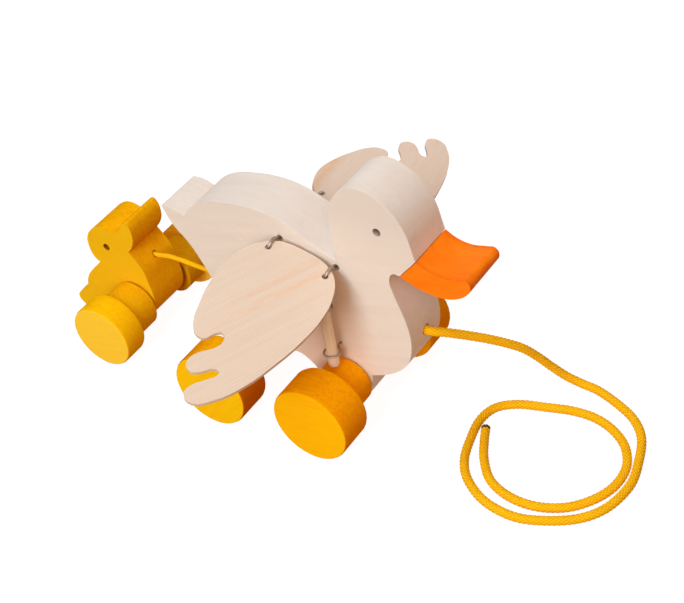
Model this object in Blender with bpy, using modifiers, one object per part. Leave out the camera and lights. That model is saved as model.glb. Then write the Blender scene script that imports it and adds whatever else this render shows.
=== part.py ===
"""A pull-along duck whose wings flap as it rolls, with a duckling in tow.

Metres, +Z up, +X forward, +Y to the duck's left. Outlines are written in millimetres, the duck's
from the ground below its front axle and the duckling's from the ground below its own axle.
"""
import math

import bmesh
import bpy
from mathutils import Matrix, Vector

MM = 0.001

# Fits
GAP = 0.3 * MM
HUB_PLAY = 0.5 * MM

# Boards
BODY_WIDTH = 28.8 * MM
EDGE_ROUNDING = 1.5 * MM
EYE_POINT = (33.5, 129.5)
EYE_RADIUS = 2.3 * MM

# Running gear of the duck
WHEEL_RADIUS = 22.5 * MM
WHEEL_THICKNESS = 21.8 * MM
WHEELBASE = 65.0 * MM
WHEEL_ROUNDING = 1.6 * MM
AXLE_RADIUS = 5.0 * MM
AXLE_IN_WHEEL = 14.0 * MM
HUB_RADIUS = 14.2 * MM
HUB_LENGTH = 17.2 * MM
HUB_ROUNDING = 0.9 * MM
CAM_THROW = 1.9 * MM
CAM_PHASE = math.radians(70)
LEG_BOTTOM = 9.4

# Wings
WING_THICKNESS = 2.0 * MM
WING_ROUNDING = 0.4 * MM
WING_HINGE = (-11.5, 104.2)
WING_SLOPE = math.radians(15.4)
WING_DROOP = {-1: math.radians(10.0), 1: math.radians(11.4)}
WING_RISE = 2.75 * MM
LOOP_SPAN = 34.0 * MM
LOOP_HOLE_REACH = 9.8 * MM
LOOP_WIRE_RADIUS = 0.85 * MM
LOOP_HOLE_RADIUS = 1.7 * MM
LOOP_SOCKET_RADIUS = 1.9 * MM
LOOP_SOCKET_DEPTH = 4.0 * MM

# Push rods and the wire eyes that guide them
ROD_RADIUS = 3.0 * MM
ROD_FROM_BODY = 8.4 * MM
ROD_BEHIND_AXLE = 1.3 * MM
ROD_FOOT_ROUNDING = 1.4 * MM
GUIDE_HEIGHTS = {"lower": 48.0 * MM, "upper": 77.8 * MM}
GUIDE_SLACK = 0.9 * MM
GUIDE_WIRE_RADIUS = 0.6 * MM
GUIDE_SHANK_IN_BODY = 9.0 * MM
GUIDE_NECK = 1.6 * MM
GUIDE_EYE_ARC = (-62, 246)
GUIDE_EYE_RADIUS = ROD_RADIUS + GUIDE_SLACK + GUIDE_WIRE_RADIUS

# Cords, which rest on the lower side of their holes
CORD_HOLE_ROOM = 0.45 * MM
PULL_CORD_RADIUS = 2.4 * MM
PULL_HOLE_HEIGHT = 60.3
PULL_HOLE_DEPTH = 22.0 * MM
TOW_CORD_RADIUS = 1.4 * MM
TOW_HOLE_HEIGHT = 55.0
TOW_HOLE_RADIUS = 2.3 * MM
TOW_HOLE_DEPTH = 18.0 * MM

# Duckling
DUCKLING_BEHIND = 153.7 * MM
DUCKLING_ASIDE = 7.0 * MM
DUCKLING_WIDTH = 26.8 * MM
DUCKLING_WHEEL_RADIUS = 19.7 * MM
DUCKLING_WHEEL_THICKNESS = 15.8 * MM
DUCKLING_HUB_RADIUS = 14.9 * MM
DUCKLING_HUB_LENGTH = 17.0 * MM
DUCKLING_HUB_PHASE = math.radians(55)
DUCKLING_HUB_PLAY = 2.0 * MM
DUCKLING_AXLE_SHIFT = 1.0 * MM
DUCKLING_AXLE_RADIUS = 4.0 * MM
DUCKLING_AXLE_IN_WHEEL = 10.0 * MM
DUCKLING_EYE_POINT = (-12.3, 57.0)
DUCKLING_EYE_RADIUS = 2.2 * MM
DUCKLING_BREAST = 11.5
DUCKLING_CORD_HOLE_HEIGHT = 48.5
DUCKLING_CORD_HOLE_DEPTH = 16.0 * MM

# Facets
WHEEL_STEPS = 36
HUB_STEPS = 28
HOLE_STEPS = 16
EYE_STEPS = 12
OUTLINE_STEPS = 3

SIDES = {"right": -1, "left": 1}
HALF_BODY = BODY_WIDTH / 2
HUB_INNER = HALF_BODY + HUB_PLAY
WHEEL_INNER = HUB_INNER + HUB_LENGTH + GAP
AXLE_MM = WHEEL_RADIUS / MM
REAR_MM = -WHEELBASE / MM
BREAST_FRONT = 43.5
BACK_END = REAR_MM - 14.2

SMOOTH, CORNER = "AUTO", "VECTOR"

TAIL_TIP = (-105.2, 108.5)
BEAK_JOINT_TOP = (53.5, 117.2)
BEAK_JOINT_BOTTOM = (42.8, 105.3)
BEAK_TIP = (82.8, 110.0)

BODY_OUTLINE = [
    (*TAIL_TIP, CORNER), (-97.5, 108.3, SMOOTH), (-90.5, 105.3, CORNER), (-87.0, 110.2, SMOOTH),
    (-75.3, 118.1, SMOOTH), (-60.4, 121.9, SMOOTH), (-46.0, 123.3, SMOOTH), (-32.0, 121.9, SMOOTH),
    (-20.0, 117.6, SMOOTH), (-7.3, 109.8, SMOOTH), (5.9, 103.6, CORNER), (5.4, 116.0, SMOOTH),
    (5.4, 130.0, SMOOTH), (9.0, 142.0, SMOOTH), (17.0, 150.2, SMOOTH), (26.0, 153.0, SMOOTH),
    (36.0, 149.8, SMOOTH), (44.5, 143.0, SMOOTH), (50.2, 132.5, SMOOTH), (52.2, 123.5, SMOOTH),
    (*BEAK_JOINT_TOP, CORNER), (*BEAK_JOINT_BOTTOM, CORNER), (39.0, 105.6, SMOOTH),
    (36.3, 101.0, SMOOTH), (37.2, 93.5, SMOOTH), (40.3, 83.0, SMOOTH), (43.2, 71.0, SMOOTH),
    (BREAST_FRONT, 60.0, SMOOTH), (40.3, 48.3, SMOOTH), (33.8, 40.4, SMOOTH), (25.5, 34.8, SMOOTH),
    (15.4, 30.6, CORNER), (14.4, AXLE_MM + 1.0, SMOOTH), (10.2, LEG_BOTTOM + 5.2, SMOOTH),
    (0.0, LEG_BOTTOM, SMOOTH), (-11.0, LEG_BOTTOM + 2.6, SMOOTH), (-18.3, LEG_BOTTOM + 10.5, SMOOTH),
    (-25.0, 27.4, SMOOTH), (REAR_MM / 2, 30.8, SMOOTH), (REAR_MM + 25.0, 27.4, SMOOTH),
    (REAR_MM + 18.3, LEG_BOTTOM + 10.5, SMOOTH), (REAR_MM + 11.0, LEG_BOTTOM + 2.6, SMOOTH),
    (REAR_MM, LEG_BOTTOM, SMOOTH), (REAR_MM - 11.0, LEG_BOTTOM + 3.2, SMOOTH),
    (REAR_MM - 16.4, LEG_BOTTOM + 14.0, SMOOTH), (BACK_END - 0.4, 44.0, SMOOTH), (BACK_END, 56.0, SMOOTH),
    (-82.0, 66.5, SMOOTH), (-86.2, 76.0, SMOOTH), (-92.6, 87.8, SMOOTH), (-100.6, 97.2, SMOOTH),
]

BEAK_OUTLINE = [
    (*BEAK_JOINT_TOP, CORNER), (59.5, 113.6, SMOOTH), (67.5, 112.0, SMOOTH), (76.5, 113.4, SMOOTH),
    (81.0, 113.8, SMOOTH), (*BEAK_TIP, SMOOTH), (80.2, 105.4, SMOOTH), (73.0, 100.6, SMOOTH),
    (63.6, 99.0, SMOOTH), (53.6, 100.6, SMOOTH), (*BEAK_JOINT_BOTTOM, CORNER),
]

WING_OUTLINE = [
    (0.0, 2.1, SMOOTH), (9.0, 2.5, SMOOTH), (16.4, 4.7, SMOOTH), (22.4, 9.4, SMOOTH),
    (27.2, 18.6, SMOOTH), (29.5, 31.0, SMOOTH), (28.8, 46.0, SMOOTH), (24.9, 66.0, SMOOTH),
    (18.9, 85.0, SMOOTH), (11.4, 98.0, SMOOTH), (3.8, 104.4, SMOOTH), (-2.4, 102.2, SMOOTH),
    (-2.2, 96.4, SMOOTH), (3.6, 88.0, SMOOTH), (5.3, 84.2, SMOOTH), (2.9, 82.8, SMOOTH),
    (-3.0, 88.2, SMOOTH), (-7.6, 90.4, SMOOTH), (-11.8, 86.4, SMOOTH), (-10.0, 79.6, SMOOTH),
    (-5.0, 73.6, SMOOTH), (-3.5, 68.6, SMOOTH), (-6.2, 64.4, SMOOTH), (-9.6, 66.4, SMOOTH),
    (-12.4, 71.4, SMOOTH), (-17.2, 71.7, SMOOTH), (-22.0, 67.2, SMOOTH), (-26.4, 55.8, SMOOTH),
    (-29.6, 42.0, SMOOTH), (-30.3, 30.0, SMOOTH), (-27.6, 18.6, SMOOTH), (-22.4, 9.8, SMOOTH),
    (-16.4, 4.8, SMOOTH), (-9.0, 2.5, SMOOTH),
]

DUCKLING_TAIL_TIP = (-48.4, 9.4)
DUCKLING_OUTLINE = [
    (-21.0, 43.2, CORNER), (-24.6, 46.2, SMOOTH), (-26.7, 53.6, SMOOTH), (-25.4, 61.4, SMOOTH),
    (-19.6, 68.0, SMOOTH), (-11.5, 71.0, SMOOTH), (-4.0, 69.2, CORNER), (1.6, 73.2, SMOOTH),
    (6.6, 79.2, SMOOTH), (8.8, 78.6, SMOOTH), (10.8, 70.6, SMOOTH), (8.6, 63.2, SMOOTH),
    (4.4, 57.8, CORNER), (8.2, 53.0, SMOOTH), (12.0, 46.2, SMOOTH), (13.6, 37.0, SMOOTH),
    (14.8, 27.0, SMOOTH), (12.4, 17.6, SMOOTH), (5.0, 11.0, SMOOTH), (-8.0, 7.2, SMOOTH),
    (-22.0, 2.6, SMOOTH), (-34.0, 0.6, SMOOTH), (-44.0, 4.0, SMOOTH), (*DUCKLING_TAIL_TIP, SMOOTH),
    (-45.2, 14.8, SMOOTH), (-37.6, 21.2, CORNER), (-36.2, 26.4, SMOOTH), (-32.0, 33.0, SMOOTH),
]

PULL_ROUTE = [
    (34.0, 0.0, 60.3), (42.0, 0.0, 60.3), (47.4, 0.3, 60.2), (53.0, 3.8, 58.5), (60.2, 11.0, 53.4),
    (68.4, 19.2, 47.0), (75.0, 26.2, 40.6), (80.0, 32.0, 34.4), (84.4, 37.6, 26.0), (89.6, 42.6, 16.6),
    (95.8, 46.8, 8.4), (103.4, 49.4, 3.6), (113.0, 49.0, 2.4), (127.0, 43.5, 2.4), (139.0, 36.5, 2.4),
    (148.0, 26.0, 2.4), (153.6, 10.9, 2.4), (156.9, -5.8, 2.4), (153.6, -23.7, 2.4),
    (145.0, -36.0, 2.4), (131.0, -44.5, 2.4), (115.0, -49.0, 2.4), (97.0, -46.0, 2.4),
    (82.0, -36.5, 2.4), (73.5, -25.0, 2.4), (69.0, -11.0, 2.4), (66.5, 4.0, 2.4), (69.5, 15.5, 2.4),
    (79.0, 22.6, 2.4), (93.0, 26.5, 2.4), (108.0, 29.8, 2.4), (121.0, 29.5, 2.4), (133.0, 25.0, 2.4),
    (143.5, 16.5, 2.4), (150.0, 4.0, 2.4), (150.3, -10.0, 2.4), (145.0, -22.5, 2.4),
    (135.0, -33.0, 2.4), (121.0, -38.5, 2.4), (106.0, -38.0, 2.4), (92.5, -32.0, 2.4),
    (82.5, -20.5, 2.4), (76.0, -8.5, 2.4), (72.0, 0.4, 2.4),
]

TOW_ROUTE = [
    (-148.5, 7.5, 48.5), (-141.6, 7.5, 48.6), (-137.4, 7.1, 49.6), (-131.0, 6.0, 51.6),
    (-120.0, 4.3, 53.2), (-108.0, 2.6, 54.1), (-96.0, 1.2, 54.7), (-86.0, 0.2, 55.0), (-78.2, 0.0, 55.0),
]

PAINT = ("painted_white", (0.80, 0.70, 0.60), 0.55, 0.0)
ORANGE = ("painted_orange", (0.95, 0.20, 0.02), 0.45, 0.0)
PLY = ("birch_ply", (0.82, 0.64, 0.47), 0.60, 0.0)
DOWEL = ("beech_dowel", (0.66, 0.43, 0.25), 0.60, 0.0)
STAIN = ("stained_orange", (0.90, 0.38, 0.01), 0.50, 0.0)
YELLOW = ("stained_yellow", (0.86, 0.43, 0.01), 0.50, 0.0)
STEEL = ("steel_wire", (0.45, 0.40, 0.36), 0.35, 1.0)
CORD = ("yellow_cord", (0.90, 0.47, 0.01), 0.80, 0.0)


def clear_scene():
    for obj in list(bpy.data.objects):
        bpy.data.objects.remove(obj)


def new_collection(name):
    collection = bpy.data.collections.new(name)
    bpy.context.scene.collection.children.link(collection)
    return collection


def new_empty(name, location, parent=None, rotation=(0.0, 0.0, 0.0)):
    empty = bpy.data.objects.new(name, None)
    empty.empty_display_size = 10 * MM
    empty.location = location
    empty.rotation_euler = rotation
    empty.parent = parent
    PARTS.objects.link(empty)
    return empty


def shaded(mesh):
    mesh.shade_smooth()
    mesh.set_sharp_from_angle(angle=math.radians(35))
    return mesh


def place(obj, look, parent):
    """Gives a piece its material and hangs it on the empty that carries it."""
    name, colour, roughness, metallic = look
    material = bpy.data.materials.get(name)
    if material is None:
        material = bpy.data.materials.new(name)
        material.use_nodes = True
        shader = material.node_tree.nodes["Principled BSDF"]
        shader.inputs["Base Color"].default_value = (*colour, 1.0)
        shader.inputs["Roughness"].default_value = roughness
        shader.inputs["Metallic"].default_value = metallic
    obj.data.materials.append(material)
    obj.parent = parent
    return obj


def mesh_of(obj):
    """The evaluated shape of an object as a closed mesh with its loose caps welded on."""
    bpy.context.view_layer.update()
    evaluated = obj.evaluated_get(bpy.context.evaluated_depsgraph_get())
    mesh = bpy.data.meshes.new_from_object(evaluated)
    shape = bmesh.new()
    shape.from_mesh(mesh)
    bmesh.ops.remove_doubles(shape, verts=shape.verts, dist=0.001 * MM)
    bmesh.ops.recalc_face_normals(shape, faces=shape.faces)
    shape.to_mesh(mesh)
    shape.free()
    return mesh


def add_bevel(obj, width, segments):
    bevel = obj.modifiers.new("rounded_edges", "BEVEL")
    bevel.width = width
    bevel.segments = segments
    bevel.limit_method = "ANGLE"
    bevel.angle_limit = math.radians(50)


def plate(name, outline, thickness, rounding, segments):
    """A flat piece with a smooth outline in its local XY plane and rounded edges."""
    curve = bpy.data.curves.new(name, "CURVE")
    curve.dimensions = "2D"
    curve.fill_mode = "BOTH"
    curve.extrude = thickness / 2
    curve.resolution_u = OUTLINE_STEPS
    spline = curve.splines.new("BEZIER")
    spline.bezier_points.add(len(outline) - 1)
    spline.use_cyclic_u = True
    for point, (x, y, handles) in zip(spline.bezier_points, outline):
        point.co = (x * MM, y * MM, 0.0)
        point.handle_left_type = handles
        point.handle_right_type = handles
    drawn = bpy.data.objects.new(name + "_outline", curve)
    PARTS.objects.link(drawn)
    piece = bpy.data.objects.new(name, mesh_of(drawn))
    bpy.data.objects.remove(drawn)
    PARTS.objects.link(piece)
    add_bevel(piece, rounding, segments)
    shaded(piece.data)
    return piece


def drill(piece, holes, parent):
    """Cuts round holes, each given as its mouth, its direction, its radius and its depth."""
    shape = bmesh.new()
    for mouth, direction, radius, depth in holes:
        along = Vector(direction).normalized()
        overshoot = 2 * MM
        middle = Vector(mouth) + along * (depth - overshoot) / 2
        turn = Vector((0.0, 0.0, 1.0)).rotation_difference(along).to_matrix().to_4x4()
        bmesh.ops.create_cone(
            shape, cap_ends=True, segments=HOLE_STEPS, radius1=radius, radius2=radius,
            depth=depth + overshoot, matrix=Matrix.Translation(middle) @ turn,
        )
    mesh = bpy.data.meshes.new(piece.name + "_holes")
    shape.to_mesh(mesh)
    shape.free()
    cutter = bpy.data.objects.new(piece.name + "_holes", mesh)
    cutter.hide_render = True
    cutter.display_type = "WIRE"
    cutter.parent = parent
    CUTTERS.objects.link(cutter)
    boolean = piece.modifiers.new("drilled_holes", "BOOLEAN")
    boolean.operation = "DIFFERENCE"
    boolean.object = cutter


def turned(name, profile, steps):
    """A turned piece: (radius, height) pairs from the top of its axis down its outer side."""
    mesh = bpy.data.meshes.new(name)
    points = [(radius, 0.0, height) for radius, height in profile]
    edges = [(i, i + 1) for i in range(len(points) - 1)]
    mesh.from_pydata(points, edges, [])
    piece = bpy.data.objects.new(name, mesh)
    PARTS.objects.link(piece)
    screw = piece.modifiers.new("turned", "SCREW")
    screw.axis = "Z"
    screw.steps = steps
    screw.render_steps = steps
    screw.use_merge_vertices = True
    screw.merge_threshold = 0.001 * MM
    screw.use_smooth_shade = True
    return piece


def arc(centre, radius, start, end, steps):
    """Points along an arc, its angles in degrees from the radial direction."""
    points = []
    for i in range(steps + 1):
        angle = math.radians(start + (end - start) * i / steps)
        points.append((centre[0] + radius * math.cos(angle), centre[1] + radius * math.sin(angle)))
    return points


def wheel_profile(radius, thickness, rounding, bore, bore_depth):
    """A wheel with a closed outer face at the top and a blind bore for its axle below."""
    flat = radius - rounding
    return [
        (0.0, thickness),
        *arc((flat, thickness - rounding), rounding, 90, 0, 2),
        *arc((flat, rounding), rounding, 0, -90, 2),
        (bore, 0.0),
        (bore, bore_depth),
        (0.0, bore_depth),
    ]


def hub_profile(radius, length, rounding):
    flat = radius - rounding
    return [
        (0.0, length),
        *arc((flat, length - rounding), rounding, 90, 0, 1),
        *arc((flat, rounding), rounding, 0, -90, 1),
        (0.0, 0.0),
    ]


def smooth_route(points, spacing):
    """Evenly spaced points along a smooth curve through the route's own points."""
    route = [Vector(point) for point in points]
    route = [2 * route[0] - route[1], *route, 2 * route[-1] - route[-2]]
    fine = []
    for before, start, end, after in zip(route, route[1:], route[2:], route[3:]):
        for i in range(16):
            t = i / 16
            bend = 2 * before - 5 * start + 4 * end - after
            twist = 3 * (start - end) + after - before
            fine.append(start + 0.5 * t * (end - before + t * (bend + t * twist)))
    fine.append(route[-2])
    lengths = [0.0]
    for here, there in zip(fine, fine[1:]):
        lengths.append(lengths[-1] + (there - here).length)
    count = max(2, round(lengths[-1] / spacing))
    even = []
    index = 0
    for i in range(count + 1):
        target = lengths[-1] * i / count
        while index < len(fine) - 2 and lengths[index + 1] < target:
            index += 1
        share = (target - lengths[index]) / (lengths[index + 1] - lengths[index])
        even.append(fine[index].lerp(fine[index + 1], share))
    return even


def wire(name, points, radius, sides):
    """A round wire or cord along a list of points."""
    curve = bpy.data.curves.new(name, "CURVE")
    curve.dimensions = "3D"
    curve.bevel_depth = radius
    curve.bevel_resolution = sides
    curve.use_fill_caps = True
    spline = curve.splines.new("POLY")
    spline.points.add(len(points) - 1)
    for point, place_at in zip(spline.points, points):
        point.co = (*place_at, 1.0)
    piece = bpy.data.objects.new(name, curve)
    PARTS.objects.link(piece)
    return piece


def dowel(name, radius, length, parent):
    """A plain round bar across the toy, centred on its parent."""
    shape = bmesh.new()
    bmesh.ops.create_cone(
        shape, cap_ends=True, segments=HOLE_STEPS, radius1=radius, radius2=radius, depth=length,
        matrix=Matrix.Rotation(math.radians(90), 4, "X"),
    )
    mesh = bpy.data.meshes.new(name)
    shape.to_mesh(mesh)
    shape.free()
    piece = bpy.data.objects.new(name, shaded(mesh))
    PARTS.objects.link(piece)
    return place(piece, DOWEL, parent)


def stand_outward(piece, side, y):
    """Turns a turned piece so that its top faces away from the board, at distance y from the middle."""
    piece.rotation_euler = (math.radians(-90 * side), 0.0, 0.0)
    piece.location.y = side * y


def off_centre(phase):
    """How far an eccentric hub's middle lies from its axle, at a turn from straight ahead."""
    return Vector((math.cos(phase), 0.0, math.sin(phase))) * CAM_THROW


def hub_bore(piece, parent, side, y, length, radius):
    drill(piece, [((0.0, side * (y - MM), 0.0), (0.0, side, 0.0), radius + GAP, length + 2 * MM)], parent)


def wing_frame(side):
    """The frame of a wing at rest: origin on the hinge line, X along it, Y to the left."""
    origin = Vector((WING_HINGE[0] * MM, side * HALF_BODY, WING_HINGE[1] * MM))
    turn = Matrix.Rotation(WING_SLOPE, 4, "Y") @ Matrix.Rotation(-side * WING_DROOP[side], 4, "X")
    return Matrix.Translation(origin) @ turn


def rod_dome_height(side):
    """Height of the centre of a rod's domed top that just clears the underside of the wing."""
    frame = wing_frame(side)
    normal = frame.to_3x3() @ Vector((0.0, 0.0, 1.0))
    underside = frame @ Vector((0.0, 0.0, WING_RISE - WING_THICKNESS / 2))
    rod = Vector((-ROD_BEHIND_AXLE, side * (HALF_BODY + ROD_FROM_BODY), 0.0))
    return (-(ROD_RADIUS + GAP) - (rod - underside).dot(normal)) / normal.z


def build_board(root):
    body = plate("duck_body", BODY_OUTLINE, BODY_WIDTH, EDGE_ROUNDING, 2)
    body.rotation_euler.x = math.radians(90)
    place(body, PAINT, root)
    through = BODY_WIDTH + 4 * MM
    near = -HALF_BODY - 2 * MM
    across = (0.0, 1.0, 0.0)
    breast = (BREAST_FRONT * MM, 0.0, PULL_HOLE_HEIGHT * MM + CORD_HOLE_ROOM)
    back = (BACK_END * MM, 0.0, TOW_HOLE_HEIGHT * MM)
    holes = [
        ((0.0, near, WHEEL_RADIUS), across, AXLE_RADIUS + GAP, through),
        ((-WHEELBASE, near, WHEEL_RADIUS), across, AXLE_RADIUS + GAP, through),
        ((EYE_POINT[0] * MM, near, EYE_POINT[1] * MM), across, EYE_RADIUS, through),
        (breast, (-1.0, 0.0, 0.0), PULL_CORD_RADIUS + GAP + CORD_HOLE_ROOM, PULL_HOLE_DEPTH),
        (back, (1.0, 0.0, 0.0), TOW_HOLE_RADIUS, TOW_HOLE_DEPTH),
    ]
    for side in SIDES.values():
        inward = (0.0, -side, 0.0)
        for end in (-0.5, 0.5):
            socket = wing_frame(side) @ Vector((end * LOOP_SPAN, 0.0, 0.0))
            holes.append((socket, inward, LOOP_SOCKET_RADIUS, LOOP_SOCKET_DEPTH))
        for height in GUIDE_HEIGHTS.values():
            mouth = (-ROD_BEHIND_AXLE, side * HALF_BODY, height)
            holes.append((mouth, inward, GUIDE_WIRE_RADIUS + GAP, GUIDE_SHANK_IN_BODY + GAP))
    drill(body, holes, root)

    beak = plate("beak", BEAK_OUTLINE, BODY_WIDTH, EDGE_ROUNDING, 2)
    beak.rotation_euler.x = math.radians(90)
    joint = Vector(BEAK_JOINT_TOP) - Vector(BEAK_JOINT_BOTTOM)
    away = Vector((joint.y, -joint.x)).normalized()
    beak.location = (away.x * GAP, 0.0, away.y * GAP)
    place(beak, ORANGE, root)


def build_wheelset(name, root, x, hub_offset):
    """An axle with its hubs and wheels, which turn as one; the hubs sit off-centre by hub_offset."""
    pivot = new_empty(name + "_pivot", (x, 0.0, WHEEL_RADIUS), root)
    dowel(name + "_axle", AXLE_RADIUS, 2 * (WHEEL_INNER + AXLE_IN_WHEEL), pivot)
    hub_name = "_cam_" if hub_offset.length > 0 else "_hub_"
    for side_name, side in SIDES.items():
        profile = hub_profile(HUB_RADIUS, HUB_LENGTH, HUB_ROUNDING)
        hub = turned(name + hub_name + side_name, profile, HUB_STEPS)
        stand_outward(hub, side, HUB_INNER)
        hub.location += hub_offset
        place(hub, STAIN, pivot)
        hub_bore(hub, pivot, side, HUB_INNER, HUB_LENGTH, AXLE_RADIUS)
        profile = wheel_profile(
            WHEEL_RADIUS, WHEEL_THICKNESS, WHEEL_ROUNDING, AXLE_RADIUS + GAP, AXLE_IN_WHEEL + GAP,
        )
        wheel = turned(name + "_wheel_" + side_name, profile, WHEEL_STEPS)
        stand_outward(wheel, side, WHEEL_INNER)
        place(wheel, STAIN, pivot)


def loop_route():
    """Outward reach and height, from the wing's hinge line, of the wire that hangs the wing."""
    over = WING_RISE + WING_THICKNESS / 2 + LOOP_WIRE_RADIUS + GAP
    under = WING_RISE - WING_THICKNESS / 2 - LOOP_WIRE_RADIUS - 2 * GAP
    hole = LOOP_HOLE_REACH
    return [
        (-1.8 * MM, 0.0), (0.2 * MM, 0.0), (1.7 * MM, 0.6 * MM), (2.7 * MM, 2.1 * MM),
        (3.7 * MM, over - 0.5 * MM), (5.4 * MM, over + 0.3 * MM), (hole - 2.0 * MM, over + 0.2 * MM),
        (hole - 0.5 * MM, over - 0.6 * MM), (hole, WING_RISE), (hole - 0.3 * MM, under + 0.4 * MM),
        (hole - 1.3 * MM, under - 1.0 * MM), (hole - 3.0 * MM, under - 1.6 * MM),
    ]


def build_wing(side_name, side, root):
    frame = wing_frame(side)
    hinge = new_empty("wing_hinge_" + side_name, frame.to_translation(), root, frame.to_euler())
    outline = [(s, side * t, handles) for s, t, handles in WING_OUTLINE]
    wing = plate("wing_" + side_name, outline, WING_THICKNESS, WING_ROUNDING, 1)
    wing.location.z = WING_RISE
    place(wing, PLY, hinge)
    holes = []
    for end_name, end in (("rear", -0.5), ("front", 0.5)):
        top = (end * LOOP_SPAN, side * LOOP_HOLE_REACH, WING_RISE + WING_THICKNESS)
        holes.append((top, (0.0, 0.0, -1.0), LOOP_HOLE_RADIUS, 2 * WING_THICKNESS))
        route = [(end * LOOP_SPAN, side * reach, rise) for reach, rise in loop_route()]
        name = "wing_loop_" + end_name + "_" + side_name
        loop = wire(name, smooth_route(route, 1.5 * MM), LOOP_WIRE_RADIUS, 2)
        place(loop, STEEL, hinge)
    drill(wing, holes, hinge)


def build_push_rod(side_name, side, root):
    """A round rod from just above the cam's highest reach to the wing, held in two wire eyes."""
    foot = WHEEL_RADIUS + HUB_RADIUS + CAM_THROW + GAP
    dome = rod_dome_height(side)
    y = side * (HALF_BODY + ROD_FROM_BODY)
    slide = new_empty("push_rod_slide_" + side_name, (-ROD_BEHIND_AXLE, y, foot), root)
    length = dome - foot
    flat = ROD_RADIUS - ROD_FOOT_ROUNDING
    profile = [
        *arc((0.0, length), ROD_RADIUS, 90, 0, 4),
        *arc((flat, ROD_FOOT_ROUNDING), ROD_FOOT_ROUNDING, 0, -90, 2),
        (0.0, 0.0),
    ]
    rod = turned("push_rod_" + side_name, profile, HOLE_STEPS)
    place(rod, DOWEL, slide)
    shank_end = -(ROD_FROM_BODY + GUIDE_SHANK_IN_BODY)
    neck = GUIDE_EYE_RADIUS + GUIDE_NECK
    eye = arc((0.0, 0.0), GUIDE_EYE_RADIUS, *GUIDE_EYE_ARC, EYE_STEPS)
    shape = [(0.0, shank_end), (0.0, -neck), (0.3 * GUIDE_NECK, -neck + 0.6 * GUIDE_NECK), *eye]
    for height_name, height in GUIDE_HEIGHTS.items():
        points = [(x - ROD_BEHIND_AXLE, y + side * out, height) for x, out in shape]
        guide = wire("rod_guide_" + height_name + "_" + side_name, points, GUIDE_WIRE_RADIUS, 2)
        place(guide, STEEL, root)


def build_cords(root, tow):
    pull = [Vector(point) * MM for point in PULL_ROUTE]
    place(wire("pull_cord", smooth_route(pull, 5 * PULL_CORD_RADIUS), PULL_CORD_RADIUS, 3), CORD, root)
    towed = [Vector(point) * MM - tow.location for point in TOW_ROUTE]
    place(wire("tow_cord", smooth_route(towed, 5 * TOW_CORD_RADIUS), TOW_CORD_RADIUS, 2), CORD, tow)


def build_duckling(root):
    """The duckling and its tow cord, which swing about the cord's hole in the duck's back end."""
    tow = new_empty("duckling_tow", (BACK_END * MM, 0.0, TOW_HOLE_HEIGHT * MM), root)
    ground = Vector((-DUCKLING_BEHIND, DUCKLING_ASIDE, 0.0))
    stand = new_empty("duckling_stand", ground - tow.location, tow)
    body = plate("duckling_body", DUCKLING_OUTLINE, DUCKLING_WIDTH, EDGE_ROUNDING, 2)
    body.rotation_euler.x = math.radians(90)
    place(body, YELLOW, stand)
    half = DUCKLING_WIDTH / 2
    near = -half - 2 * MM
    through = DUCKLING_WIDTH + 4 * MM
    across = (0.0, 1.0, 0.0)
    eye = (DUCKLING_EYE_POINT[0] * MM, near, DUCKLING_EYE_POINT[1] * MM)
    cord_aside = TOW_ROUTE[0][1] * MM - DUCKLING_ASIDE
    breast = (DUCKLING_BREAST * MM, cord_aside, DUCKLING_CORD_HOLE_HEIGHT * MM + CORD_HOLE_ROOM)
    drill(body, [
        ((0.0, near, DUCKLING_WHEEL_RADIUS), across, DUCKLING_AXLE_RADIUS + GAP, through),
        (eye, across, DUCKLING_EYE_RADIUS, through),
        (breast, (-1.0, 0.0, 0.0), TOW_CORD_RADIUS + GAP + CORD_HOLE_ROOM, DUCKLING_CORD_HOLE_DEPTH),
    ], stand)

    pivot = new_empty("duckling_wheel_pivot", (0.0, DUCKLING_AXLE_SHIFT, DUCKLING_WHEEL_RADIUS), stand)
    hub_inner = half + DUCKLING_HUB_PLAY
    wheel_inner = hub_inner + DUCKLING_HUB_LENGTH + GAP
    dowel("duckling_axle", DUCKLING_AXLE_RADIUS, 2 * (wheel_inner + DUCKLING_AXLE_IN_WHEEL), pivot)
    for side_name, side in SIDES.items():
        profile = hub_profile(DUCKLING_HUB_RADIUS, DUCKLING_HUB_LENGTH, HUB_ROUNDING)
        hub = turned("duckling_hub_" + side_name, profile, HUB_STEPS)
        stand_outward(hub, side, hub_inner)
        hub.location += off_centre(DUCKLING_HUB_PHASE)
        place(hub, YELLOW, pivot)
        hub_bore(hub, pivot, side, hub_inner, DUCKLING_HUB_LENGTH, DUCKLING_AXLE_RADIUS)
        profile = wheel_profile(
            DUCKLING_WHEEL_RADIUS, DUCKLING_WHEEL_THICKNESS, WHEEL_ROUNDING,
            DUCKLING_AXLE_RADIUS + GAP, DUCKLING_AXLE_IN_WHEEL + GAP,
        )
        wheel = turned("duckling_wheel_" + side_name, profile, WHEEL_STEPS)
        stand_outward(wheel, side, wheel_inner)
        place(wheel, YELLOW, pivot)
    return tow


clear_scene()
PARTS = new_collection("pull_along_duck")
CUTTERS = new_collection("cutters")

# The toy stands with the middle of its length on the origin.
duckling_end = -DUCKLING_BEHIND + DUCKLING_TAIL_TIP[0] * MM
middle = (BEAK_TIP[0] * MM + duckling_end) / 2
toy = new_empty("toy", (-middle, 0.0, 0.0))

build_board(toy)
build_wheelset("front", toy, 0.0, off_centre(CAM_PHASE))
build_wheelset("rear", toy, -WHEELBASE, Vector())
for wing_side_name, wing_side in SIDES.items():
    build_wing(wing_side_name, wing_side, toy)
    build_push_rod(wing_side_name, wing_side, toy)
build_cords(toy, build_duckling(toy))
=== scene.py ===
"""The looks of a pull-along duck with flapping wings and a duckling in tow."""
import math
from typing import NamedTuple

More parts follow.
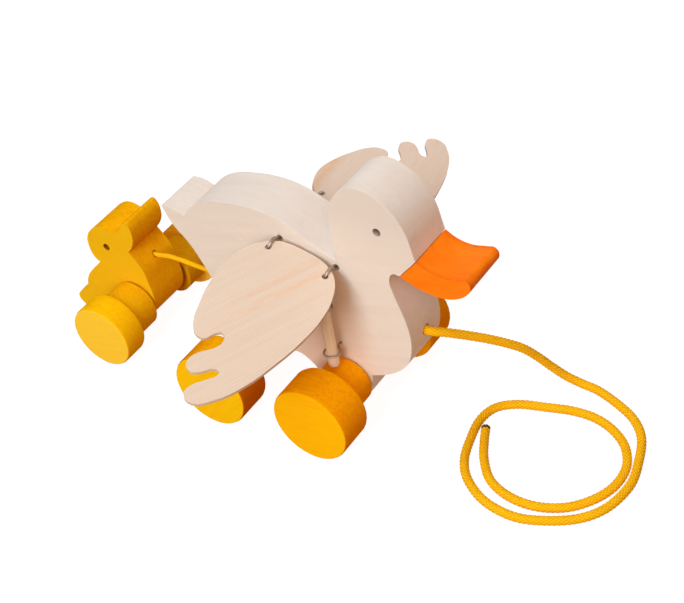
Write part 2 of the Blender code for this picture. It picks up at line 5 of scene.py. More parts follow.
import bmesh
import bpy
from mathutils import Matrix, Vector


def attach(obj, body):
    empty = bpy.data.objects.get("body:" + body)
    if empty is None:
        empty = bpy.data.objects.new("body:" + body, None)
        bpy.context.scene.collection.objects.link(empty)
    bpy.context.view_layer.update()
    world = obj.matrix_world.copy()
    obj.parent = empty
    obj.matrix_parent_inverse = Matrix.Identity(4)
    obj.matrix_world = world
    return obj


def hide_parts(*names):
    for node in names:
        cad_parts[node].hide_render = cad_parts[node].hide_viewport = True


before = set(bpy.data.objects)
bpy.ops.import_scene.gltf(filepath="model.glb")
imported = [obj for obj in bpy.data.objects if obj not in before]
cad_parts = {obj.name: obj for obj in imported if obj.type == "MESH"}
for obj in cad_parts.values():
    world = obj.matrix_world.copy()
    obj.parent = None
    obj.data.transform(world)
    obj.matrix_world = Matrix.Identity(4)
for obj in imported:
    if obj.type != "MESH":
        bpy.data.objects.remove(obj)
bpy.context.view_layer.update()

MM = 0.001
BLACK = (0.0, 0.0, 0.0)
WHITE = (1.0, 1.0, 1.0)

# Cord routes and exits in millimetres from the ground below the front axle, as in the CAD
FRONT_AXLE_X = 59.65
PULL_ROUTE = [
    (34.0, 0.0, 60.3), (42.0, 0.0, 60.3), (47.4, 0.3, 60.2), (53.0, 3.8, 58.5),
    (60.2, 11.0, 53.4), (68.4, 19.2, 47.0), (75.0, 26.2, 40.6), (80.0, 32.0, 34.4),
    (84.4, 37.6, 26.0), (89.6, 42.6, 16.6), (95.8, 46.8, 8.4), (103.4, 49.4, 3.6),
    (113.0, 49.0, 2.4), (127.0, 43.5, 2.4), (139.0, 36.5, 2.4), (148.0, 26.0, 2.4),
    (153.6, 10.9, 2.4), (156.9, -5.8, 2.4), (153.6, -23.7, 2.4), (145.0, -36.0, 2.4),
    (131.0, -44.5, 2.4), (115.0, -49.0, 2.4), (97.0, -46.0, 2.4), (82.0, -36.5, 2.4),
    (73.5, -25.0, 2.4), (69.0, -11.0, 2.4), (66.5, 4.0, 2.4), (69.5, 15.5, 2.4),
    (79.0, 22.6, 2.4), (93.0, 26.5, 2.4), (108.0, 29.8, 2.4), (121.0, 29.5, 2.4),
    (133.0, 25.0, 2.4), (143.5, 16.5, 2.4), (150.0, 4.0, 2.4), (150.3, -10.0, 2.4),
    (145.0, -22.5, 2.4), (135.0, -33.0, 2.4), (121.0, -38.5, 2.4), (106.0, -38.0, 2.4),
    (92.5, -32.0, 2.4), (82.5, -20.5, 2.4), (76.0, -8.5, 2.4), (72.0, 0.4, 2.4),
]
TOW_ROUTE = [
    (-148.5, 7.5, 48.5), (-141.6, 7.5, 48.6), (-137.4, 7.1, 49.6), (-131.0, 6.0, 51.6),
    (-120.0, 4.3, 53.2), (-108.0, 2.6, 54.1), (-96.0, 1.2, 54.7), (-86.0, 0.2, 55.0),
    (-78.2, 0.0, 55.0),
]
SEALED_LENGTH = 2.4 * MM
CURVE_STEPS = 32


class Braid(NamedTuple):
    """A plait: outer radius, strands each way, length of a crossing, relief as a share of the
    radius, points around and length of a step along the cord."""
    radius: float
    strands: int
    pitch: float
    depth: float
    around: int
    step: float


PULL_BRAID = Braid(2.5 * MM, 8, 2.4 * MM, 0.17, 48, 0.3 * MM)
TOW_BRAID = Braid(1.4 * MM, 6, 1.9 * MM, 0.24, 36, 0.25 * MM)

# Eye holes: X and Z of the centre in the shared frame, and a radius that takes in the hole's wall
DUCK_EYE = (0.09315, 0.1295, 0.00235)
DUCKLING_EYE = (-0.10635, 0.0570, 0.00225)

# White paint: where it changes, in metres, and its colours, with painted shade on the head's flat
# sides and in the eye hole and a painted highlight on the rims and along the top's edges
HEAD_HEIGHTS = (0.108, 0.138)
TAIL_FADE = 0.04
PALE_BAND = (0.0126, 0.0141)
EYE_DEPTHS = (0.0106, 0.0140)
PAINT_TONES = ((0.760, 0.635, 0.540), (0.785, 0.670, 0.580), (0.800, 0.690, 0.605))
PAINT_CLOUD = (0.775, 0.655, 0.56)
PAINT_STROKE = (0.84, 0.735, 0.65)
PAINTED_SHADE_ON_HEAD = (0.700, 0.595, 0.515)
PAINTED_HIGHLIGHT_BAND = (0.87, 0.785, 0.71)
PAINTED_HIGHLIGHT_RIM = (0.91, 0.835, 0.765)
EYE_DEEP_SHADE = (0.12, 0.065, 0.05)
EYE_MOUTH_SHADE = (0.66, 0.51, 0.44)

# Orange paint: the worn band along the beak's edges, in metres from the middle, and its colours
WORN_BAND = (0.0112, 0.0136)
ORANGE_TONES = ((0.94, 0.170, 0.003), (1.0, 0.213, 0.005), (1.0, 0.250, 0.010))
ORANGE_CLOUD = (0.95, 0.180, 0.003)
ORANGE_WORN = (0.80, 0.085, 0.002)
ORANGE_SCUFF = (1.0, 0.28, 0.012)

# Ply of the wings
RING_WIDTH = 0.00142
RING_WAVER = 0.004
STREAK_FADE = 0.012
PLY_FIBRE = (0.66, 0.46, 0.33)
PLY_STREAK = (0.78, 0.42, 0.20)
PLY_EDGE = (0.66, 0.48, 0.37)
RIGHT_TONES = ((0.690, 0.495, 0.365), (0.745, 0.565, 0.430), (0.780, 0.610, 0.480))
# The left wing's tones are the right wing's made about a tenth lighter: painted light
LEFT_TONES_PAINTED_LIGHTER = ((0.765, 0.560, 0.420), (0.825, 0.635, 0.490), (0.860, 0.685, 0.545))


class Streak(NamedTuple):
    """A warm streak in a wing: its middle across the grain and half its width, the strengths of
    its even band and of the flecks in it, and where along the grain it fades out."""
    middle: float
    half_width: float
    band: float
    fleck: float
    fade: float


RIGHT_STREAKS = (
    Streak(0.0664, 0.0030, 0.05, 0.65, -0.050),
    Streak(0.0594, 0.0022, 0.05, 0.65, -0.036),
)
LEFT_STREAKS = (Streak(0.0303, 0.0045, 0.45, 0.35, -1.0),)


class Stain(NamedTuple):
    """A stain: colours of flat faces, sides and dark grain, the grain's turn about Y, the pieces
    that have it, the colour of end grain, the strength of the pores and any eye holes, which
    get painted shade inside."""
    name: str
    face: tuple
    side: tuple
    dark: tuple
    grain_turn: float
    nodes: tuple
    end: tuple = None
    pore_share: float = 0.2
    holes: tuple = ()


# The duckling's left wheel and hub are darker copies of its right ones: painted shade
STAINS = (
    Stain(
        "stained_front_wheel", (1.0, 0.500, 0.003), (1.0, 0.450, 0.0015), (0.96, 0.190, 0.001),
        0.05, ("front_wheel_right", "front_wheel_left"), (1.0, 0.375, 0.001), 0.4,
    ),
    # Both rear wheels: dark grain and end grain darker than the front wheels', as painted shade
    # from the wings above them
    Stain(
        "stain_and_painted_shade_rear_wheel", (1.0, 0.545, 0.004), (1.0, 0.440, 0.002), (0.66, 0.160, 0.001),
        0.8, ("rear_wheel_right", "rear_wheel_left"), (0.62, 0.155, 0.0015), 0.3,
    ),
    Stain(
        "stained_hub", (1.0, 0.400, 0.002), (1.0, 0.400, 0.002), (0.96, 0.190, 0.001),
        0.5, ("front_cam_right", "front_cam_left", "rear_hub_right", "rear_hub_left"),
        pore_share=0.3,
    ),
    Stain(
        "stained_duckling", (0.87, 0.485, 0.008), (0.94, 0.435, 0.003), (0.70, 0.240, 0.001),
        -0.6, ("duckling_body",), holes=(DUCKLING_EYE,),
    ),
    Stain(
        "stained_duckling_wheel", (1.0, 0.610, 0.040), (1.0, 0.540, 0.003), (0.94, 0.330, 0.001),
        0.2, ("duckling_wheel_right",),
    ),
    Stain(
        "stain_and_painted_shade_duckling_far_wheel", (1.0, 0.610, 0.040), (0.82, 0.380, 0.003),
        (0.60, 0.200, 0.001), 0.2, ("duckling_wheel_left",),
    ),
    Stain(
        "stained_duckling_hub", (0.90, 0.440, 0.004), (0.90, 0.440, 0.003), (0.68, 0.230, 0.001),
        0.9, ("duckling_hub_right",),
    ),
    Stain(
        "stain_and_painted_shade_duckling_far_hub", (0.50, 0.200, 0.003), (0.78, 0.350, 0.003),
        (0.55, 0.170, 0.001), 0.9, ("duckling_hub_left",),
    ),
)
PORE_DARKNESS = 0.75
FACE_PORE_SHARE = 0.25
PAINTED_SHADE_IN_HOLE = (0.34, 0.11, 0.006)

# Dowels and wire
DOWEL_TONES = ((0.76, 0.60, 0.43), (0.86, 0.73, 0.57), (0.89, 0.79, 0.64))
DOWEL_FLECK = (0.66, 0.48, 0.32)
WIRE_TONES = ((0.32, 0.24, 0.19), (0.47, 0.38, 0.32), (0.60, 0.51, 0.45))

# Shading of the CAD nodes
MERGE_DISTANCE = 1e-6
SMOOTH_ANGLE = math.radians(40)
FACE_WEIGHT = 100

# Floor: radius and height of each ring of its sweep, in metres
FLOOR_SWEEP = ((5.0, 0.0), (5.6, 0.12), (5.9, 0.45), (6.0, 1.0), (6.0, 6.0))
FLOOR_SEGMENTS = 96
FLOOR_DROP = 0.0003
FLOOR_COLOUR = (0.15, 0.15, 0.15)
FLOOR_ROUGHNESS = 0.9
FLOOR_GLOW = 0.94

# Soft lights: name, direction from the toy, strength and colour
LIGHT_TARGET = Vector((0.0, 0.0, 0.07))
LIGHT_DISTANCE = 2.2
LIGHT_SIZE = 1.0
LIGHTS = (
    ("key", (0.10, -0.72, 0.69), 0.43, (0.36, 0.75, 1.0)),
    ("side", (0.10, -0.90, 0.42), 0.475, (1.0, 0.97, 0.91)),
    ("camera_fill", (0.52, -0.56, 0.645), 0.232, (1.0, 0.68, 0.45)),
    ("top", (0.0, 0.10, 0.995), 0.352, (0.62, 0.81, 1.0)),
    ("rear", (-0.35, 0.90, 0.25), 0.24, (1.0, 1.0, 1.0)),
    ("floor_bounce", (0.15, -0.25, -0.95), 0.15, (1.0, 0.5, 0.25)),
)
WORLD_COLOUR = (1.0, 0.625, 0.39)
WORLD_STRENGTH = 0.32

# Camera fitted to the photograph: place in metres, angles in degrees, lens in millimetres
CAMERA_PLACE = (0.47631, -0.51225, 0.59090)
CAMERA_YAW_PITCH_ROLL = (-39.62, 38.47, -10.72)
CAMERA_SENSOR = 36.0
CAMERA_LENS = 85.63
CAMERA_NEAR = 0.01


def world_point(point):
    """A point of the CAD's millimetre route in the shared frame."""
    x, y, z = point
    return Vector((x + FRONT_AXLE_X, y, z)) * MM


class Surface:
    """A Principled material with short calls for its procedural nodes."""

    def __init__(self, name, roughness, specular=0.5, metallic=0.0):
        self.material = bpy.data.materials.new(name)
        self.material.use_nodes = True
        self.tree = self.material.node_tree
        self.shader = self.tree.nodes["Principled BSDF"]
        self.shader.inputs["Roughness"].default_value = roughness
        self.shader.inputs["Specular IOR Level"].default_value = specular
        self.shader.inputs["Metallic"].default_value = metallic

    def node(self, kind, inputs=None, **settings):
        node = self.tree.nodes.new(kind)
        for key, value in settings.items():
            setattr(node, key, value)
        for key, value in (inputs or {}).items():
            if isinstance(value, bpy.types.NodeSocket):
                self.tree.links.new(value, node.inputs[key])
            else:
                node.inputs[key].default_value = value
        return node

    def math(self, operation, first, second=0.0):
        return self.node("ShaderNodeMath", {0: first, 1: second}, operation=operation).outputs[0]

    def times(self, first, second):
        return self.math("MULTIPLY", first, second)

    def plus(self, first, second):
        return self.math("ADD", first, second)

    def vector_math(self, operation, first, second):
        return self.node("ShaderNodeVectorMath", {0: first, 1: second}, operation=operation)

    def split(self, vector):
        """The X, Y and Z outputs of a vector."""
        return self.node("ShaderNodeSeparateXYZ", {0: vector}).outputs

    def place(self):
        """Object coordinates, which at rest are those of the shared frame."""
        return self.node("ShaderNodeTexCoord").outputs["Object"]

    def coords(self, scale, rotation=(0.0, 0.0, 0.0)):
        """Object coordinates, turned first and then stretched to so many noise cells a metre."""
        values = {"Vector": self.place(), "Rotation": rotation}
        turned = self.node("ShaderNodeVectorRotate", values, rotation_type="EULER_XYZ")
        return self.vector_math("MULTIPLY", turned.outputs[0], scale).outputs[0]

    def noise(self, vector, detail=4.0, roughness=0.55, distortion=0.0):
        """Noise with one cell to each unit of the vector."""
        values = {
            "Vector": vector, "Scale": 1.0, "Detail": detail,
            "Roughness": roughness, "Distortion": distortion,
        }
        return self.node("ShaderNodeTexNoise", values).outputs["Fac"]

    def span(self, value, start=0.0, end=1.0, low=0.0, high=1.0):
        """Goes from low to high while the value goes from start to end."""
        values = {
            "Value": value, "From Min": start, "From Max": end, "To Min": low, "To Max": high,
        }
        return self.node("ShaderNodeMapRange", values).outputs[0]

    def ramp(self, factor, positions, colours):
        """Colours at positions along a factor."""
        node = self.node("ShaderNodeValToRGB", {"Fac": factor})
        elements = node.color_ramp.elements
        while len(elements) < len(positions):
            elements.new(0.5)
        for element, position, colour in zip(elements, positions, colours):
            element.position = position
            element.color = (*colour, 1.0)
        return node.outputs["Color"]

    def mix(self, factor, first, second):
        """The first colour at factor 0, the second at 1."""
        node = self.node("ShaderNodeMix", data_type="RGBA", blend_type="MIX")
        sockets = (node.inputs[0], node.inputs[6], node.inputs[7])
        for socket, value in zip(sockets, (factor, first, second)):
            if isinstance(value, bpy.types.NodeSocket):
                self.tree.links.new(value, socket)
            else:
                socket.default_value = (*value, 1.0)
        return node.outputs[2]

    def side_share(self, axis="Y"):
        """1 where the surface faces along the axis, 0 where it faces across it."""
        normal = self.node("ShaderNodeTexCoord").outputs["Normal"]
        return self.math("ABSOLUTE", self.split(normal)[axis])

    def hole_share(self, *holes):
        """1 inside round holes bored along Y, each given by its centre's X and Z and its radius."""
        flat = self.vector_math("MULTIPLY", self.place(), (1.0, 0.0, 1.0)).outputs[0]
        inside = 0.0
        for x, z, radius in holes:
            distance = self.vector_math("DISTANCE", flat, (x, 0.0, z)).outputs["Value"]
            inside = self.plus(self.math("LESS_THAN", distance, radius), inside)
        return inside

    def rim_share(self):
        """1 on the rounded rim between a board's faces and its edges, 0 or less elsewhere."""
        middle, slope = 0.55, 2.2
        away = self.math("ABSOLUTE", self.math("SUBTRACT", self.side_share(), middle))
        return self.math("SUBTRACT", 1.0, self.times(away, slope))

    def edge_share(self, inner, outer):
        """0 to 1 towards the long edges of a board's top, by the distance from its middle."""
        away = self.math("ABSOLUTE", self.split(self.place())["Y"])
        on_top = self.math("SUBTRACT", 1.0, self.side_share())
        return self.times(self.span(away, inner, outer), on_top)

    def bump(self, height, strength, distance):
        values = {"Height": height, "Strength": strength, "Distance": distance}
        node = self.node("ShaderNodeBump", values)
        self.tree.links.new(node.outputs["Normal"], self.shader.inputs["Normal"])

    def finish(self, colour, roughness=None):
        self.tree.links.new(colour, self.shader.inputs["Base Color"])
        if roughness is not None:
            self.tree.links.new(roughness, self.shader.inputs["Roughness"])
        return self.material


def whitewashed_wood():
    """Thin white paint over soft grain, with brush strokes, a painted highlight on the rims and
    along the top's edges, and painted shade on the head's flat sides and in the eye hole.
    """
    surface = Surface("whitewashed_wood", 0.6, specular=0.15)
    grain = surface.noise(surface.coords((14, 190, 190), (0.0, 0.25, 0.0)), 5.0, 0.6, 0.6)
    strokes = surface.noise(surface.coords((40, 520, 520), (0.0, -0.6, 0.0)), 3.0, 0.5, 0.3)
    cloud = surface.noise(surface.coords((22, 22, 22)), 2.0)
    base = surface.ramp(grain, (0.3, 0.5, 0.7), PAINT_TONES)
    base = surface.mix(surface.times(cloud, 0.3), base, PAINT_CLOUD)
    streak = surface.ramp(strokes, (0.56, 0.72), (BLACK, WHITE))
    base = surface.mix(surface.times(streak, 0.30), base, PAINT_STROKE)

    place = surface.split(surface.place())
    # Painted shade: the head's flat sides darken above these heights
    on_head = surface.span(place["Z"], *HEAD_HEIGHTS, high=0.9)
    on_face = surface.math("GREATER_THAN", surface.side_share(), 0.9)
    base = surface.mix(surface.times(on_head, on_face), base, PAINTED_SHADE_ON_HEAD)

    # Painted highlight: a pale band along the top's long edges and a paler rounded rim, broken up
    # by the brush strokes, weaker towards the tail and kept off the head
    forward = surface.span(place["X"], end=TAIL_FADE, low=0.25, high=1.1)
    patchy = surface.times(strokes, surface.math("SUBTRACT", forward, on_head))
    band = surface.times(surface.edge_share(*PALE_BAND), patchy)
    base = surface.mix(band, base, PAINTED_HIGHLIGHT_BAND)
    rim = surface.times(surface.rim_share(), surface.plus(patchy, 0.1))
    painted = surface.mix(rim, base, PAINTED_HIGHLIGHT_RIM)

    # Painted shade in the eye hole: dark deep inside, lighter towards its mouth
    mouth = surface.span(surface.math("ABSOLUTE", place["Y"]), *EYE_DEPTHS)
    bore = surface.mix(mouth, EYE_DEEP_SHADE, EYE_MOUTH_SHADE)
    colour = surface.mix(surface.hole_share(DUCK_EYE), painted, bore)
    surface.bump(surface.plus(grain, surface.times(strokes, 1.2)), 0.2, 0.0004)
    return surface.finish(colour, surface.span(strokes, low=0.5, high=0.72))


def painted_orange_wood():
    """Orange paint, a little uneven, rubbed redder along the rims."""
    surface = Surface("painted_orange_wood", 0.55, specular=0.02)
    grain = surface.noise(surface.coords((40, 160, 160), (0.0, 0.5, 0.0)), 5.0, 0.6, 0.4)
    cloud = surface.noise(surface.coords((60, 60, 60)), 3.0)
    scuffs = surface.noise(surface.coords((160, 520, 520)), 4.0, 0.65, 0.5)
    base = surface.ramp(grain, (0.3, 0.55, 0.75), ORANGE_TONES)
    base = surface.mix(surface.times(cloud, 0.4), base, ORANGE_CLOUD)
    worn = surface.ramp(scuffs, (0.50, 0.66), (BLACK, WHITE))
    fleck = surface.plus(surface.times(worn, 0.65), 0.35)
    base = surface.mix(surface.times(surface.edge_share(*WORN_BAND), fleck), base, ORANGE_WORN)
    colour = surface.mix(surface.times(worn, 0.12), base, ORANGE_SCUFF)
    surface.bump(surface.plus(grain, scuffs), 0.15, 0.0004)
    return surface.finish(colour, surface.span(grain, low=0.42, high=0.6))


def birch_ply(name, grain_turn, contrast, streaks, tones):
    """Pale ply with fine straight grain, a few warm streaks and a darker cut edge."""
    surface = Surface(name, 0.62, specular=0.1)
    turn = (0.0, 0.0, grain_turn)
    turned = surface.split(surface.coords((1, 1, 1), turn))
    across, along = turned["X"], turned["Y"]
    warp = surface.noise(surface.coords((40, 9, 40), turn), 2.0)
    wavy = surface.plus(across, surface.times(warp, RING_WAVER))
    rings = surface.math("SINE", surface.times(wavy, 2 * math.pi / RING_WIDTH))
    uneven = surface.noise(surface.coords((420, 14, 420), turn), 3.0, 0.6)
    ripple = surface.times(surface.times(rings, uneven), contrast)
    lines = surface.plus(ripple, surface.span(uneven, low=0.2, high=0.8))
    fibre = surface.noise(surface.coords((1800, 70, 1800), turn), 2.0)
    flecks = surface.noise(surface.coords((1300, 110, 1300), turn), 3.0, 0.6)
    base = surface.ramp(lines, (0.2, 0.5, 0.8), tones)
    base = surface.mix(surface.times(fibre, 0.12), base, PLY_FIBRE)

    warm = surface.ramp(flecks, (0.44, 0.66), (BLACK, WHITE))
    for streak in streaks:
        away = surface.math("ABSOLUTE", surface.math("SUBTRACT", across, streak.middle))
        near = surface.span(away, end=streak.half_width, low=1.0, high=0.0)
        reach = surface.span(along, streak.fade - STREAK_FADE, streak.fade + STREAK_FADE)
        tint = surface.plus(surface.times(warm, streak.fleck), streak.band)
        base = surface.mix(surface.times(tint, surface.times(near, reach)), base, PLY_STREAK)

    edge = surface.math("LESS_THAN", surface.side_share("Z"), 0.6)
    colour = surface.mix(surface.times(edge, 0.85), base, PLY_EDGE)
    surface.bump(surface.plus(lines, fibre), 0.14, 0.0003)
    return surface.finish(colour, surface.span(lines, low=0.56, high=0.7))


def stained_wood(stain):
    """Stained wood: even on the flat faces, streaky round the sides and deepest on end grain."""
    surface = Surface(stain.name, 0.6, specular=0.0)
    turn = (0.0, stain.grain_turn, 0.0)
    grain = surface.noise(surface.coords((30, 560, 560), turn), 5.0, 0.62, 0.3)
    pores = surface.noise(surface.coords((70, 1300, 1300), turn), 2.0, 0.5)
    cloud = surface.noise(surface.coords((60, 60, 60)), 3.0)
    flat = surface.span(surface.side_share(), 0.55, 0.95)
    side = stain.side
    if stain.end:
        side = surface.mix(surface.side_share("X"), side, stain.end)
    base = surface.mix(flat, side, stain.face)

    streak = surface.ramp(grain, (0.36, 0.56), (WHITE, BLACK))
    streak_share = surface.span(flat, low=0.30, high=0.07)
    base = surface.mix(surface.times(streak, streak_share), base, stain.dark)
    speck = surface.ramp(pores, (0.32, 0.52), (WHITE, BLACK))
    speck_share = surface.span(
        flat, low=stain.pore_share, high=FACE_PORE_SHARE * stain.pore_share,
    )
    pore = tuple(PORE_DARKNESS * channel for channel in stain.dark)
    base = surface.mix(surface.times(speck, speck_share), base, pore)
    patchy = surface.ramp(cloud, (0.45, 0.70), (BLACK, WHITE))
    patch_share = surface.span(flat, low=0.13, high=0.03)
    colour = surface.mix(surface.times(patchy, patch_share), base, stain.dark)
    # Painted shade inside any eye holes
    if stain.holes:
        colour = surface.mix(surface.hole_share(*stain.holes), colour, PAINTED_SHADE_IN_HOLE)
    surface.bump(surface.plus(grain, pores), 0.2, 0.0004)
    return surface.finish(colour, surface.span(grain, low=0.5, high=0.7))


def beech_dowel():
    """Bare dowel with grain along Z."""
    surface = Surface("beech_dowel", 0.6, specular=0.12)
    grain = surface.noise(surface.coords((500, 500, 30)), 4.0, 0.6)
    flecks = surface.noise(surface.coords((1100, 1100, 220)), 2.0)
    base = surface.ramp(grain, (0.3, 0.6, 0.8), DOWEL_TONES)
    colour = surface.mix(surface.times(flecks, 0.2), base, DOWEL_FLECK)
    surface.bump(surface.plus(grain, flecks), 0.15, 0.0003)
    return surface.finish(colour)


def steel_wire():
    """Plain wire, a little scratched, with a brown tint that is painted reflection of warm
    surroundings.
    """
    surface = Surface("steel_wire", 0.3, metallic=1.0)
    scratch = surface.noise(surface.coords((900, 900, 900)), 4.0, 0.7)
    # The brown tint of these tones is painted reflection of warm surroundings
    colour = surface.ramp(scratch, (0.3, 0.6, 0.8), WIRE_TONES)
    surface.bump(scratch, 0.1, 0.0001)
    return surface.finish(colour, surface.span(scratch, low=0.34, high=0.52))


def cotton_cord(name, bright, dark):
    """Braided cord: fine yarn on the modelled strands, with painted shade down in the gaps between
    them.
    """
    surface = Surface(name, 0.85, specular=0.03)
    yarn = surface.noise(surface.coords((2200, 2200, 2200)), 3.0, 0.7)
    cloud = surface.noise(surface.coords((120, 120, 120)), 3.0)
    relief = surface.node("ShaderNodeAttribute", attribute_name="relief").outputs["Fac"]
    # Painted shade: the low parts of the braid take the dark colour, the high parts the bright one
    base = surface.mix(surface.span(relief, 0.05, 0.6), dark, bright)
    shade = surface.times(surface.times(yarn, cloud), 0.6)
    surface.bump(yarn, 0.35, 0.0003)
    return surface.finish(surface.mix(shade, base, dark))


def smooth_route(points, spacing):
    """Evenly spaced points along a smooth curve through the route's own points, and its length."""
    route = [2 * points[0] - points[1], *points, 2 * points[-1] - points[-2]]
    fine = []
    for before, start, end, after in zip(route, route[1:], route[2:], route[3:]):
        for i in range(CURVE_STEPS):
            t = i / CURVE_STEPS
            bend = 2 * before - 5 * start + 4 * end - after
            twist = 3 * (start - end) + after - before
            fine.append(start + 0.5 * t * (end - before + t * (bend + t * twist)))
    fine.append(route[-2])
    lengths = [0.0]
    for here, there in zip(fine, fine[1:]):
        lengths.append(lengths[-1] + (there - here).length)
    count = max(2, round(lengths[-1] / spacing))
    even = []
    index = 0
    for i in range(count + 1):
        target = lengths[-1] * i / count
        while index < len(fine) - 2 and lengths[index + 1] < target:
            index += 1
        share = (target - lengths[index]) / (lengths[index + 1] - lengths[index])
        even.append(fine[index].lerp(fine[index + 1], share))
    return even, lengths[-1]


def braid_height(angle, along, braid):
    """Height, 0 to 1, of a plait: strands of two slants that pass over and under in turn."""
    a = braid.strands * angle / (2 * math.pi) + along / braid.pitch
    b = braid.strands * angle / (2 * math.pi) - along / braid.pitch
    over = (math.floor(a) + math.floor(b)) % 2 == 0
    lengthwise, crosswise = (a % 1.0, b % 1.0) if over else (b % 1.0, a % 1.0)
    return math.sin(math.pi * crosswise) * (0.4 + 0.6 * math.sin(math.pi * lengthwise))


def braided_cord(name, route, braid, materials, cut_end=0.0):
    """A closed plaited tube; the last stretch of length cut_end has the second material."""
    points, length = smooth_route([world_point(p) for p in route], braid.step)
    shape = bmesh.new()
    rings, heights = [], []
    normal = Vector((0.0, 0.0, 1.0))
    for i, point in enumerate(points):
        ahead, behind = points[min(i + 1, len(points) - 1)], points[max(i - 1, 0)]
        tangent = (ahead - behind).normalized()
        normal = (normal - tangent * normal.dot(tangent)).normalized()
        side = tangent.cross(normal)
        along = length * i / (len(points) - 1)
        ring = []
        for j in range(braid.around):
            angle = 2 * math.pi * j / braid.around
            height = braid_height(angle, along, braid)
            reach = braid.radius * (1.0 - braid.depth * (1.0 - height))
            outward = math.cos(angle) * side + math.sin(angle) * normal
            ring.append(shape.verts.new(point + reach * outward))
            heights.append(height)
        rings.append(ring)
    sealed = len(rings) - round(cut_end / braid.step)
    for i, (first, second) in enumerate(zip(rings, rings[1:])):
        for j in range(braid.around):
            k = (j + 1) % braid.around
            face = shape.faces.new((first[j], first[k], second[k], second[j]))
            face.material_index = 1 if i >= sealed else 0
    shape.faces.new(reversed(rings[0]))
    shape.faces.new(rings[-1]).material_index = 1 if cut_end else 0
    bmesh.ops.recalc_face_normals(shape, faces=shape.faces)
    mesh = bpy.data.meshes.new(name)
    shape.to_mesh(mesh)
    shape.free()
    mesh.attributes.new("relief", "FLOAT", "POINT").data.foreach_set("value", heights)
    mesh.shade_smooth()
    for material in materials:
        mesh.materials.append(material)
    cord = bpy.data.objects.new(name, mesh)
    bpy.context.scene.collection.objects.link(cord)
    return cord, length, points


def smooth_facets():
    """Geometry nodes that join a CAD mesh's split corners and shade its shallow edges smooth."""
    tree = bpy.data.node_groups.new("smooth_facets", "GeometryNodeTree")
    for direction in ("INPUT", "OUTPUT"):
        tree.interface.new_socket(
            "Geometry", in_out=direction, socket_type="NodeSocketGeometry",
        )
    new, join = tree.nodes.new, tree.links.new
    forget = new("GeometryNodeRemoveAttribute")
    forget.inputs["Name"].default_value = "custom_normal"
    merge = new("GeometryNodeMergeByDistance")
    merge.inputs["Distance"].default_value = MERGE_DISTANCE
    faces = new("GeometryNodeSetShadeSmooth")
    edges = new("GeometryNodeSetShadeSmooth")
    edges.domain = "EDGE"
    shallow = new("FunctionNodeCompare")
    shallow.operation = "LESS_THAN"
    shallow.inputs["B"].default_value = SMOOTH_ANGLE
    angle = new("GeometryNodeInputMeshEdgeAngle").outputs["Unsigned Angle"]
    join(angle, shallow.inputs["A"])
    join(shallow.outputs["Result"], edges.inputs["Shade Smooth"])
    chain = [new("NodeGroupInput"), forget, merge, faces, edges, new("NodeGroupOutput")]
    for first, second in zip(chain, chain[1:]):
        join(first.outputs[0], second.inputs[0])
    return tree


SMOOTH_FACETS = smooth_facets()


def dress(material, *nodes):
    """Gives CAD nodes their material and smooth shading."""
    for name in nodes:
        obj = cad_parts[name]
        obj.modifiers.new("smooth_facets", "NODES").node_group = SMOOTH_FACETS
        weigh = obj.modifiers.new("face_weights", "WEIGHTED_NORMAL")
        weigh.keep_sharp = True
        weigh.weight = FACE_WEIGHT
        if not obj.material_slots:
            obj.data.materials.append(material)
        for slot in obj.material_slots:
            slot.material = material


def add_floor():
    """A round pale floor that sweeps up into a wall, so that no view looks past its edge."""
    shape = bmesh.new()
    rim = None
    for radius, height in FLOOR_SWEEP:
        ring = []
        for i in range(FLOOR_SEGMENTS):
            angle = 2 * math.pi * i / FLOOR_SEGMENTS
            x, y = radius * math.cos(angle), radius * math.sin(angle)
            ring.append(shape.verts.new((x, y, height - FLOOR_DROP)))
        if rim is None:
            shape.faces.new(ring)
        else:
            for i in range(FLOOR_SEGMENTS):
                shape.faces.new((rim[i - 1], rim[i], ring[i], ring[i - 1]))
        rim = ring
    mesh = bpy.data.meshes.new("floor")
    shape.to_mesh(mesh)
    shape.free()
    material = bpy.data.materials.new("pale_floor")
    material.use_nodes = True
    shader = material.node_tree.nodes["Principled BSDF"]
    shader.inputs["Base Color"].default_value = (*FLOOR_COLOUR, 1.0)
    shader.inputs["Roughness"].default_value = FLOOR_ROUGHNESS
    shader.inputs["Specular IOR Level"].default_value = 0.0
    shader.inputs["Emission Color"].default_value = (*WHITE, 1.0)
    shader.inputs["Emission Strength"].default_value = FLOOR_GLOW
    mesh.materials.append(material)
    floor = bpy.data.objects.new("floor", mesh)
    floor.visible_diffuse = False
    floor.visible_shadow = False
    bpy.context.scene.collection.objects.link(floor)


def add_light(name, direction, strength, colour):
    """A round soft light; at strength 1 a white surface square to it shows as plain white."""
    light = bpy.data.lights.new(name, "AREA")
    light.shape = "DISK"
    light.size = LIGHT_SIZE
    light.energy = strength * (math.pi * LIGHT_DISTANCE) ** 2
    light.color = colour
    lamp = bpy.data.objects.new(name, light)
    away = Vector(direction).normalized()
    lamp.location = LIGHT_TARGET + LIGHT_DISTANCE * away
    lamp.rotation_euler = (-away).to_track_quat("-Z", "Y").to_euler()
    bpy.context.scene.collection.objects.link(lamp)


def add_world():
    """An even warm light from all around."""
    world = bpy.data.worlds.new("studio")
    world.use_nodes = True
    background = world.node_tree.nodes["Background"]
    background.inputs["Color"].default_value = (*WORLD_COLOUR, 1.0)
    background.inputs["Strength"].default_value = WORLD_STRENGTH
    bpy.context.scene.world = world


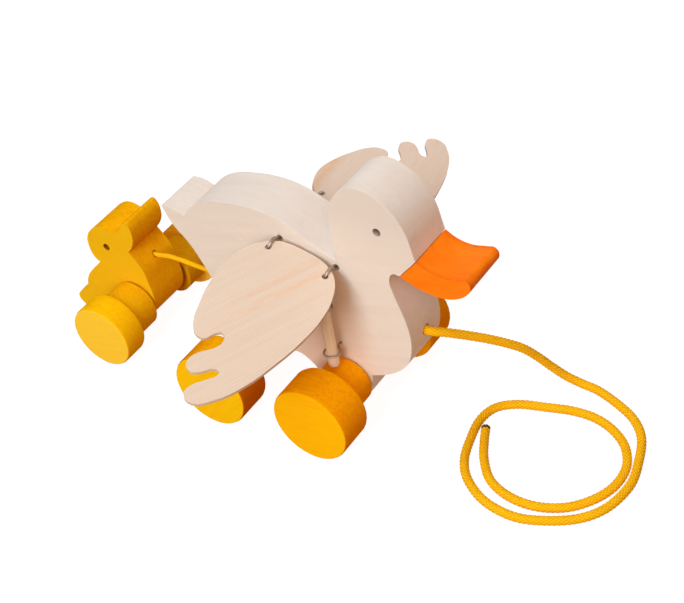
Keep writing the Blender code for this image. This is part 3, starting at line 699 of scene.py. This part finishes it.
def add_camera():
    """The camera fitted to the photograph: its place, its aim and its slight roll."""
    yaw, pitch, roll = (math.radians(angle) for angle in CAMERA_YAW_PITCH_ROLL)
    aim = Vector((
        math.sin(yaw) * math.cos(pitch), math.cos(yaw) * math.cos(pitch), -math.sin(pitch),
    ))
    level = Vector((math.cos(yaw), -math.sin(yaw), 0.0))
    upright = level.cross(aim)
    right = math.cos(roll) * level + math.sin(roll) * upright
    up = math.cos(roll) * upright - math.sin(roll) * level
    camera = bpy.data.cameras.new("camera")
    camera.sensor_width = CAMERA_SENSOR
    camera.lens = CAMERA_LENS
    camera.clip_start = CAMERA_NEAR
    eye = bpy.data.objects.new("camera", camera)
    turn = Matrix((right, up, -aim)).transposed().to_4x4()
    eye.matrix_world = Matrix.Translation(CAMERA_PLACE) @ turn
    bpy.context.scene.collection.objects.link(eye)
    bpy.context.scene.camera = eye


# The two cords, in place of the CAD's plain ones
# Each cord colour pair: the strands' colour, then the painted shade in the gaps between them
YELLOW_CORD = cotton_cord("yellow_cotton", (1.0, 0.55, 0.007), (0.74, 0.27, 0.002))
# The thin cord's colours are lighter than the thick cord's: painted light against its braid's own
# shade
THIN_CORD = cotton_cord("thin_yellow_cotton", (1.0, 0.59, 0.007), (0.88, 0.34, 0.002))
SEALED_END = cotton_cord("sealed_cord_end", (0.20, 0.08, 0.015), (0.09, 0.035, 0.008))

pull_cord, pull_length, pull_path = braided_cord(
    "braided_pull_cord", PULL_ROUTE, PULL_BRAID, (YELLOW_CORD, SEALED_END), SEALED_LENGTH,
)
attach(pull_cord, "duck")
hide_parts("pull_cord")

tow_cord, tow_length, tow_path = braided_cord(
    "braided_tow_cord", TOW_ROUTE, TOW_BRAID, (THIN_CORD,),
)
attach(tow_cord, "duckling")
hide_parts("tow_cord")

# Materials of the CAD nodes
dress(whitewashed_wood(), "duck_body")
dress(painted_orange_wood(), "beak")
dress(birch_ply("birch_ply_right", 0.48, 0.30, RIGHT_STREAKS, RIGHT_TONES), "wing_right")
dress(birch_ply("birch_ply_left", -0.2, 0.10, LEFT_STREAKS, LEFT_TONES_PAINTED_LIGHTER), "wing_left")
dress(
    beech_dowel(),
    "push_rod_right", "push_rod_left", "front_axle", "rear_axle", "duckling_axle",
)
for stain in STAINS:
    dress(stained_wood(stain), *stain.nodes)
dress(
    steel_wire(),
    "wing_loop_front_right", "wing_loop_rear_right",
    "wing_loop_front_left", "wing_loop_rear_left",
    "rod_guide_upper_right", "rod_guide_lower_right",
    "rod_guide_upper_left", "rod_guide_lower_left",
)

add_floor()
for light in LIGHTS:
    add_light(*light)
add_world()
add_camera()
bpy.context.scene.view_settings.view_transform = "Standard"
